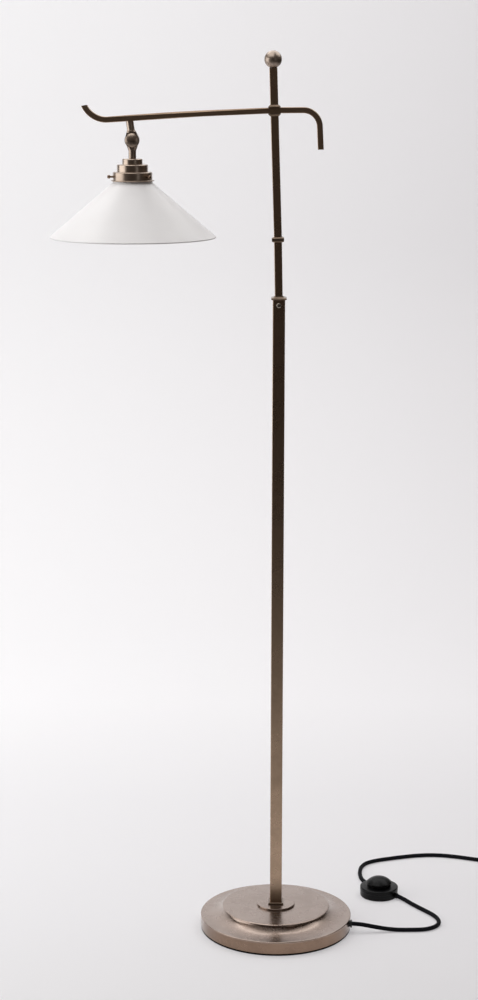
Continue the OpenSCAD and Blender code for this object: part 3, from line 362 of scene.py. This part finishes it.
# fitted to the photograph: angles in radians, place in metres, lens in picture heights
PITCH, YAW, ROLL = 0.203250, -0.0187289, 0.00154612
CAMERA_AT = (0, -3.27147, 1.38747)
FOCAL_HEIGHTS = 2.12102
SENSOR_MM = 36.0
ahead = Vector((math.sin(YAW) * math.cos(PITCH), math.cos(YAW) * math.cos(PITCH), -math.sin(PITCH)))
right = Vector((math.cos(YAW), -math.sin(YAW), 0))
above = right.cross(ahead)
right, above = (right * math.cos(ROLL) + above * math.sin(ROLL),
                above * math.cos(ROLL) - right * math.sin(ROLL))
camera_data = bpy.data.cameras.new("camera")
camera_data.sensor_fit = "VERTICAL"
camera_data.sensor_height = SENSOR_MM
camera_data.lens = SENSOR_MM * FOCAL_HEIGHTS
camera = bpy.data.objects.new("camera", camera_data)
aimed = Matrix((right, above, -ahead)).transposed().to_4x4()
camera.matrix_world = Matrix.Translation(CAMERA_AT) @ aimed
scene.collection.objects.link(camera)
scene.camera = camera


# ---------- cords ----------

def smooth_path(points, step):
    """A round curve through given points (Catmull-Rom), as evenly spaced points in metres."""
    p = [2 * Vector(points[0]) - Vector(points[1])] + [Vector(q) for q in points]
    p.append(2 * p[-1] - p[-2])
    dense = []
    for a, b, c, d in zip(p, p[1:], p[2:], p[3:]):
        for i in range(24):
            t = i / 24
            dense.append(0.5 * ((2 * b) + (c - a) * t + (2 * a - 5 * b + 4 * c - d) * t * t
                                + (3 * b - a - 3 * c + d) * t ** 3))
    dense.append(p[-2])
    travelled = [0.0]
    for a, b in zip(dense, dense[1:]):
        travelled.append(travelled[-1] + (b - a).length)
    count = max(2, round(travelled[-1] / step))
    even, k = [], 0
    for i in range(count + 1):
        want = travelled[-1] * i / count
        while k < len(dense) - 2 and travelled[k + 1] < want:
            k += 1
        span = travelled[k + 1] - travelled[k]
        even.append(dense[k].lerp(dense[k + 1], min(1.0, (want - travelled[k]) / span)))
    return [q * MM for q in even], travelled[-1] * MM


def cord_tube(name, points, diameter, material, stands_for):
    """A round tube along the points, made a mesh so that the braid can follow its length."""
    curve = bpy.data.curves.new(name, "CURVE")
    curve.dimensions = "3D"
    curve.bevel_depth = diameter / 2
    curve.bevel_resolution = 5
    curve.use_fill_caps = True
    spline = curve.splines.new("POLY")
    spline.points.add(len(points) - 1)
    for spot, point in zip(spline.points, points):
        spot.co = (*point, 1)
    shaped = bpy.data.objects.new(name, curve)
    scene.collection.objects.link(shaped)
    bpy.context.view_layer.update()
    mesh = bpy.data.meshes.new_from_object(shaped.evaluated_get(bpy.context.evaluated_depsgraph_get()))
    bpy.data.objects.remove(shaped)
    tube = bpy.data.objects.new(name, mesh)
    scene.collection.objects.link(tube)
    mesh.name = name
    mesh.shade_smooth()
    mesh.materials.clear()
    mesh.materials.append(material)
    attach(tube, "stand")
    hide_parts(*stands_for)
    return tube


CORD = 0.007            # diameter in metres

# the routes are in mm, laid along the cords' middles
BASE_ROUTE = [
    (124, -25, 15), (141, -25, 13.5), (160, -24.5, 9.8), (179, -23, 6), (199, -21.2, 3.5), (220, -21, 3.5),
    (241, -19, 3.5), (256, -11.5, 3.5), (265.5, 0, 3.5), (268.5, 14, 3.5), (266.5, 28, 3.5),
    (261, 41, 3.5), (252, 55, 3.5), (240, 71.5, 3.5), (228, 89, 3.5), (217.5, 105, 4), (205.5, 117.5, 5.5),
]
MAINS_ROUTE = [
    (160.5, 167, 5.5), (153.5, 182.5, 4), (148.5, 198, 3.5), (146.5, 215, 3.5), (147, 234, 3.5),
    (150.5, 253.5, 3.5), (159.5, 271, 3.5), (176, 283.5, 3.5), (199, 293.5, 3.5), (224, 302.5, 3.5),
    (248, 309.5, 3.5), (271, 313, 3.5), (294, 312, 3.5), (317, 307, 3.5), (339, 299.5, 3.5),
    (359, 292.3, 3.5), (380, 286.5, 3.5), (402, 283, 3.5), (424, 282.5, 3.5),
]
TAIL_ROUTE = [(484.5, 219, 13), (483.5, 206, 10.5), (481.5, 195, 9.5), (480, 184, 9.5)]
COIL_X, COIL_Y = 445, 240
OUTER, INNER = 42.5, 35.5                   # radii of the two turns that lie abreast
FIRST, SECOND, THIRD = 3.5, 10.2, 16.8      # heights of the three layers
STEP_OVER = 0.72                            # share of a turn after which the cord moves to the next


def on_coil(radius, angle, height):
    """A point of the coil, in mm; angle is in radians from the east."""
    return COIL_X + radius * math.cos(angle), COIL_Y + radius * math.sin(angle), height


def coil_points():
    """Six turns and a quarter wound clockwise at two turns abreast and three high, from the top of the
    ring (seen from above) where the lead comes in to its east side where it goes on to the plug."""
    rings = [(OUTER, FIRST), (INNER, FIRST), (INNER, SECOND), (OUTER, SECOND), (OUTER, THIRD),
             (INNER, THIRD), (OUTER, THIRD)]
    points = []
    for (r0, z0), (r1, z1) in zip(rings, rings[1:]):
        for i in range(30):
            share = i / 30
            change = min(1.0, max(0.0, (share - STEP_OVER) / (1 - STEP_OVER)))
            change = change * change * (3 - 2 * change)
            r, z = r0 + (r1 - r0) * change, z0 + (z1 - z0) * change
            points.append(on_coil(r, math.radians(90 - 360 * share), z))
    return points + [on_coil(OUTER, math.radians(90 - 11.5 * i), THIRD) for i in range(8)]


base_points, base_length = smooth_path(BASE_ROUTE, 2.0)
base_cord = cord_tube("lead_base_to_switch", base_points, CORD,
                      woven_braid("black_braid_short", base_length), ["cord_base_to_switch"])
mains_points, mains_length = smooth_path(MAINS_ROUTE + coil_points() + TAIL_ROUTE, 3.0)
mains_cord = cord_tube("lead_switch_to_plug", mains_points, CORD,
                       woven_braid("black_braid_long", mains_length),
                       ["cord_switch_to_coil", "cord_coil", "cord_coil_to_plug"])


# ---------- base ----------

# radii from the column's axis and heights from the floor, in mm
BORE_R = 5.05
PAD_R, PAD_TOP = 122.2, 3.5
COVER_SHEET = 2.0
RIM_R, RIM_TOP, RIM_EDGE = 122.8, 23.0, 1.2
DRAFT = 0.2             # by which the rim's side leans in at its foot
COVE_OUT, COVE_WIDTH, COVE_HEIGHT = 117.8, 35.3, 12.2
COVE_TOP = RIM_TOP + COVE_HEIGHT
DISC_R, DISC_TOP, DISC_EDGE = 87.5, 38.0, 0.9
FLANGE_R, FLANGE_TOP, FLANGE_EDGE = 31.0, 41.0, 0.5


def cove(width, foot, step):
    """The hollow quarter of an ellipse from the rim up to the disc, from outside in."""
    angles = [math.radians(a) for a in range(0, 91, step)]
    return [(COVE_OUT - width * math.sin(a), foot + COVE_HEIGHT * (1 - math.cos(a))) for a in angles]


turned("foam_pad",
       [(0, 0), (PAD_R - 1, 0), (PAD_R, 0.8), (PAD_R, PAD_TOP), (0, PAD_TOP)],
       "stand", black_foam, ["base_pad"])
cover_outer = ([(RIM_R - DRAFT, PAD_TOP)] + arc(RIM_R - RIM_EDGE, RIM_TOP - RIM_EDGE, RIM_EDGE, 0, 90)
               + cove(COVE_WIDTH, RIM_TOP, 5) + [(BORE_R, COVE_TOP)])
hollow_r, hollow_top = RIM_R - COVER_SHEET, RIM_TOP - COVER_SHEET
cover_inner = ([(BORE_R, COVE_TOP - COVER_SHEET)] + cove(COVE_WIDTH + COVER_SHEET, hollow_top, 10)[::-1]
               + [(hollow_r - RIM_EDGE, hollow_top), (hollow_r, hollow_top - RIM_EDGE),
                  (hollow_r - DRAFT, PAD_TOP)])
turned("base_cover_spun", cover_outer + cover_inner, "stand", base_plate,
       ["base_cover"], closed=True, steps=180)
turned("base_disc_turned",
       [(BORE_R, COVE_TOP), (DISC_R - 1.2, COVE_TOP)]
       + arc(DISC_R - DISC_EDGE, COVE_TOP + 1.2, DISC_EDGE, -50, 90, 8)
       + [(DISC_R - 3.4, DISC_TOP), (BORE_R, DISC_TOP)],
       "stand", base_plate, ["base_disc"], closed=True, steps=180)
turned("foot_flange_turned",
       [(BORE_R, DISC_TOP), (FLANGE_R - FLANGE_EDGE, DISC_TOP), (FLANGE_R, DISC_TOP + FLANGE_EDGE)]
       + arc(FLANGE_R - FLANGE_EDGE, FLANGE_TOP - FLANGE_EDGE, FLANGE_EDGE, 0, 90, 5)
       + [(BORE_R, FLANGE_TOP)],
       "stand", base_plate, ["foot_flange"], closed=True)
# the foot block's darker plate is a painted reflection of the dark disc below it
eased("foot_block", foot_plate_painted_reflection, "stand", 0.3)


# ---------- column and mast ----------

for name, body in (("column_tube", "stand"), ("slider_tube", "mast"), ("mast_tube", "mast"),
                   ("top_tube", "mast")):
    eased(name, tube_plate, body, 0.15)
for name, body in (("column_cap", "stand"), ("mast_coupling", "mast"), ("lower_cross_collar", "mast"),
                   ("upper_cross_collar", "mast")):
    eased(name, collar_plate, body, 0.15)
eased("clamp_screw", screw_metal, "clamp", 0.15)
eased("arm_tube", arm_plate, "mast", 0.15)
finish_node("arm_end_caps", arm_plate)

# ball on the top of the mast, flat where it sits on the tube's end
BALL_R, BALL_FLAT = 13.4, -12.4
ball_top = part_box("finial_ball")[1][2] * 1000
turned("finial_ball_turned", [(0, BALL_FLAT)] + arc(0, 0, BALL_R, -68, 90, 40),
       "mast", finial_plate, ["finial_ball"], axis=(BALL.x, 0, ball_top - BALL_R), steps=72)


# ---------- swivel, gallery and head ----------

for name, body in (("knuckle_upper", "mast"), ("knuckle_lower", "head")):
    eased(name, turned_plate, body, 0.3)
for name, body in (("knuckle_front_cap", "head"), ("knuckle_rear_cap", "mast")):
    eased(name, turned_plate, body, 0.0)

# radii from the swivel's axis and heights from its pivot, in mm
HOLE_R = 5
CAP_R, CAP_TOP = 15.6, -27.9
TIER_R, TIER_TOP = 23.8, -36.5
RING_R, RING_TOP = 30.35, -47.8
LIP_R, LIP_LOW, LIP_EDGE = 33.25, -61.9, 0.9
GALLERY_EDGE, GALLERY_SHEET = 1.6, 0.9
turned("gallery_cap_turned",
       [(HOLE_R, TIER_TOP), (CAP_R, TIER_TOP)]
       + arc(CAP_R - GALLERY_EDGE, CAP_TOP - GALLERY_EDGE, GALLERY_EDGE, 0, 90, 8) + [(HOLE_R, CAP_TOP)],
       "head", turned_plate, ["gallery_cap"], axis=HEAD_AXIS, closed=True)
turned("gallery_spun",
       [(HOLE_R, TIER_TOP)]
       + arc(TIER_R - GALLERY_EDGE, TIER_TOP - GALLERY_EDGE, GALLERY_EDGE, 90, 0, 8) + [(TIER_R, RING_TOP)]
       + arc(RING_R - GALLERY_EDGE, RING_TOP - GALLERY_EDGE, GALLERY_EDGE, 90, 0, 8)
       + [(RING_R, LIP_LOW + 2 * LIP_EDGE)]
       + arc(LIP_R - LIP_EDGE, LIP_LOW + LIP_EDGE, LIP_EDGE, 90, -90, 10)
       + [(RING_R - GALLERY_SHEET, LIP_LOW), (RING_R - GALLERY_SHEET, RING_TOP - GALLERY_SHEET),
          (TIER_R - GALLERY_SHEET, RING_TOP - GALLERY_SHEET),
          (TIER_R - GALLERY_SHEET, TIER_TOP - GALLERY_SHEET), (HOLE_R, TIER_TOP - GALLERY_SHEET)],
       "head", turned_plate, ["gallery"], axis=HEAD_AXIS, closed=True)

for number in (1, 2, 3):
    eased(f"thumb_screw_{number}", thumb_metal, f"thumb_{number}", 0.12)

# the glass: a neck with a bead at its top, a shoulder, and a straight cone down to the rounded rim
NECK_R, NECK_BORE, BEAD_Z = 26.6, 23.6, -50.0
SHOULDER_R, SHOULDER_Z = 30.75, -64.3
INNER_R, INNER_Z = 25.6, SHOULDER_Z - 3.1
SHADE_R, SHADE_LOW = 128.3, -147.5
shade_outline = (
    arc(NECK_R + 1, BEAD_Z, 1, 90, 0, 4)
    + [(NECK_R + 2, BEAD_Z - 1.4), (NECK_R + 0.4, BEAD_Z - 2.2), (NECK_R, BEAD_Z - 2.8),
       (NECK_R, SHOULDER_Z + 4.5)]
    + arc(SHOULDER_R - 1.3, SHOULDER_Z + 1.2, 1.2, 90, 20, 5) + [(SHOULDER_R, SHOULDER_Z)]
    + line((SHOULDER_R, SHOULDER_Z), (SHADE_R - 1, SHADE_LOW + 1.6))
    + arc(SHADE_R - 1.6, SHADE_LOW + 0.7, 1.2, 40, -130, 8)
    + line((INNER_R, INNER_Z), (SHADE_R - 2.8, SHADE_LOW))[-2::-1]
    + [(INNER_R, INNER_Z), (NECK_BORE, SHOULDER_Z + 1.5), (NECK_BORE, BEAD_Z)]
    + arc(NECK_BORE + 1, BEAD_Z, 1, 180, 90, 3)
)
turned("shade_glass", shade_outline, "head", shade_glass, ["shade"], axis=HEAD_AXIS,
       closed=True, steps=192)
eased("bulb_glass", bulb_opal, "head", 0.0, 40)


# ---------- foot switch and plug ----------

for name in ("switch_lower_shell", "switch_upper_shell"):
    eased(name, black_abs, "stand", 0.35)
eased("switch_button", black_abs, "button", 0.3)
relief = eased("plug_relief", rubber, "stand", 0.25)
plug = eased("plug_body", plug_abs, "stand", 1.6)
pins = eased("plug_pins", turned_brass, "stand", 0.5)

# CAD nodes that stay as they are, most of them out of sight
for node, material in {
    "base_weight": cast_iron, "base_nipple": turned_brass, "base_nut": zinc_steel,
    "column_plug": zinc_steel, "inner_lead": flex_pvc, "cord_grommet": rubber,
    "slider_bush": white_plastic, "mast_plug": zinc_steel, "top_plug": zinc_steel,
    "tie_rod": zinc_steel, "arm_nipple": turned_brass, "knuckle_screw": zinc_steel,
    "mast_flex": flex_pvc, "lampholder_cap": white_plastic, "lampholder_body": white_plastic,
    "lampholder_contacts": turned_brass, "head_flex": flex_pvc, "bulb_cap": zinc_steel,
    "switch_block": white_plastic, "switch_spring": zinc_steel,
}.items():
    finish_node(node, material)


# ---------- studio ----------

# the paper sweep, in metres
SWEEP_LEFT, SWEEP_WIDTH = -3.2, 5.2
SWEEP_FRONT, SWEEP_FLAT_END = -2.6, 1.7
SWEEP_BEND, SWEEP_TOP = 0.9, 4.2
# its light: along Y from the dark front edge, and along X from where it starts to fall off to the right
DEPTH_FROM, DEPTH_TO = -2.6, 1.4
WIDTH_FROM, WIDTH_TO = -0.75, 1.85
PLAIN_DEPTH, PLAIN_WIDTH = 0.565, 0.52      # shares of these where the camera stops seeing the fall
GLOW, GLOW_SHARE = 1.7, 0.3


def sweep_paper():
    """White paper, brightest at the left and far from the front edge, where the studio light falls off.
    It ends in a dim room at the front and the right: reflections show that, the camera doesn't. From
    behind, it is out of the way."""
    material, tree, out = blank("white_paper_sweep")
    rays = add(tree, "ShaderNodeLightPath").outputs
    direct = rays["Is Camera Ray"]
    spot = add(tree, "ShaderNodeSeparateXYZ", {"Vector": at_object(tree)}).outputs
    depth = maths(tree, "MAXIMUM", spread(tree, spot["Y"], DEPTH_FROM, DEPTH_TO),
                  maths(tree, "MULTIPLY", direct, PLAIN_DEPTH))
    across = maths(tree, "MINIMUM", spread(tree, spot["X"], WIDTH_FROM, WIDTH_TO),
                   maths(tree, "MULTIPLY_ADD", direct, PLAIN_WIDTH - 1.0, 1.0))
    level = ramp(tree, depth, [
        (0.0, "#403e3d"), (0.11, "#646260"), (0.24, "#757371"), (0.34, "#94928f"),
        (0.40, "#b2b0ae"), (0.475, "#c2c0c0"), (0.565, "#cfcecf"), (0.585, "#d5d4d6"),
        (0.645, "#dcdbde"), (0.725, "#e3e2e5"), (0.8, "#e8e7ea"), (0.96, "#fefdff")])
    tint = ramp(tree, across, [
        (0.0, "#ffffff"), (0.52, "#dcdadb"), (0.6, "#cfcdcd"), (0.75, "#8c8a89"), (1.0, "#666362")])
    # the matt paper's own colour darkens towards the front edge too: painted shade where the studio light
    # falls off
    front = ramp(tree, depth, [
        (0.0, 0.08), (0.24, 0.26), (0.34, 0.42), (0.40, 0.6), (0.475, 0.85), (0.55, 1.0)])
    glow = add(tree, "ShaderNodeEmission", {
        "Color": mixed(tree, 1.0, level, tint, "MULTIPLY"), "Strength": GLOW})
    matt = add(tree, "ShaderNodeBsdfDiffuse", {"Color": mixed(tree, 1.0, front, "#e6e5e6", "MULTIPLY")})
    seen = maths(tree, "MAXIMUM", maths(tree, "MAXIMUM", direct, rays["Is Glossy Ray"]),
                 rays["Is Transmission Ray"])
    lit = add(tree, "ShaderNodeMixShader", {
        0: maths(tree, "MULTIPLY", seen, GLOW_SHARE), 1: matt.outputs[0], 2: glow.outputs[0]})
    rear = add(tree, "ShaderNodeNewGeometry").outputs["Backfacing"]
    clear = add(tree, "ShaderNodeBsdfTransparent")
    show(tree, out, add(tree, "ShaderNodeMixShader", {0: rear, 1: lit.outputs[0], 2: clear.outputs[0]}))
    return material


def sweep():
    """The floor under and before the lamp, and a bend up to the backdrop."""
    bm = bmesh.new()
    bend = [(SWEEP_FLAT_END + SWEEP_BEND * math.sin(math.radians(a)),
             SWEEP_BEND * (1 - math.cos(math.radians(a)))) for a in range(6, 91, 6)]
    profile = ([(SWEEP_FRONT, 0), (SWEEP_FLAT_END, 0)] + bend
               + [(SWEEP_FLAT_END + SWEEP_BEND, SWEEP_TOP)])
    verts = [bm.verts.new((SWEEP_LEFT, y, z)) for y, z in profile]
    edges = [bm.edges.new(pair) for pair in zip(verts, verts[1:])]
    grown = bmesh.ops.extrude_edge_only(bm, edges=edges)["geom"]
    bmesh.ops.translate(bm, verts=[v for v in grown if isinstance(v, bmesh.types.BMVert)],
                        vec=(SWEEP_WIDTH, 0, 0))
    bmesh.ops.recalc_face_normals(bm, faces=bm.faces)
    # the floor's upper side is its front
    bm.faces.ensure_lookup_table()
    if bm.faces[0].normal.z < 0:
        bmesh.ops.reverse_faces(bm, faces=bm.faces)
    mesh = bpy.data.meshes.new("paper_sweep")
    bm.to_mesh(mesh)
    bm.free()
    mesh.shade_smooth()
    mesh.materials.append(sweep_paper())
    floor = bpy.data.objects.new("paper_sweep", mesh)
    scene.collection.objects.link(floor)


def softbox(name, place, aim, width, height, power):
    """A flat white studio light, in metres and watts."""
    light = bpy.data.lights.new(name, "AREA")
    light.shape, light.size, light.size_y, light.energy = "RECTANGLE", width, height, power
    lamp = bpy.data.objects.new(name, light)
    way = Vector(aim) - Vector(place)
    lamp.matrix_world = Matrix.Translation(place) @ way.to_track_quat("-Z", "Y").to_matrix().to_4x4()
    scene.collection.objects.link(lamp)


sweep()
softbox("left_softbox", (-2.3, -0.3, 1.2), (0, 0, 1.1), 2.3, 1.8, 25)
softbox("overhead", (-1.0, -0.7, 3.2), (-1.0, -0.7, 0), 2.8, 3.4, 46)
softbox("back_left", (-0.9, 1.7, 3.2), (-0.6, 1.2, 0), 2.2, 1.5, 20)
softbox("back_fill", (1.6, 1.2, 3.1), (1.0, 0.8, 0), 3.0, 2.4, 38)
softbox("right_strip", (1.6, -2.4, 1.2), (0, 0, 1.0), 0.3, 1.8, 1.2)

# a dim room beyond the sweep, darker below the horizon; the camera sees it as pale as the paper
world = bpy.data.worlds.new("dim_room")
scene.world = world
world.use_nodes = True
tree = world.node_tree
tree.nodes.clear()
way_out = add(tree, "ShaderNodeTexCoord").outputs["Generated"]
rise = add(tree, "ShaderNodeSeparateXYZ", {"Vector": way_out}).outputs["Z"]
surround = add(tree, "ShaderNodeBackground", {
    "Color": linear("#6b625c"), "Strength": spread(tree, rise, -0.17, 0.0, 0.07, 0.52)})
pale = add(tree, "ShaderNodeBackground", {"Color": linear("#dddbdc"), "Strength": 1.0})
direct = add(tree, "ShaderNodeLightPath").outputs["Is Camera Ray"]
room = add(tree, "ShaderNodeMixShader", {0: direct, 1: surround.outputs[0], 2: pale.outputs[0]})
add(tree, "ShaderNodeOutputWorld", {"Surface": room.outputs[0]})
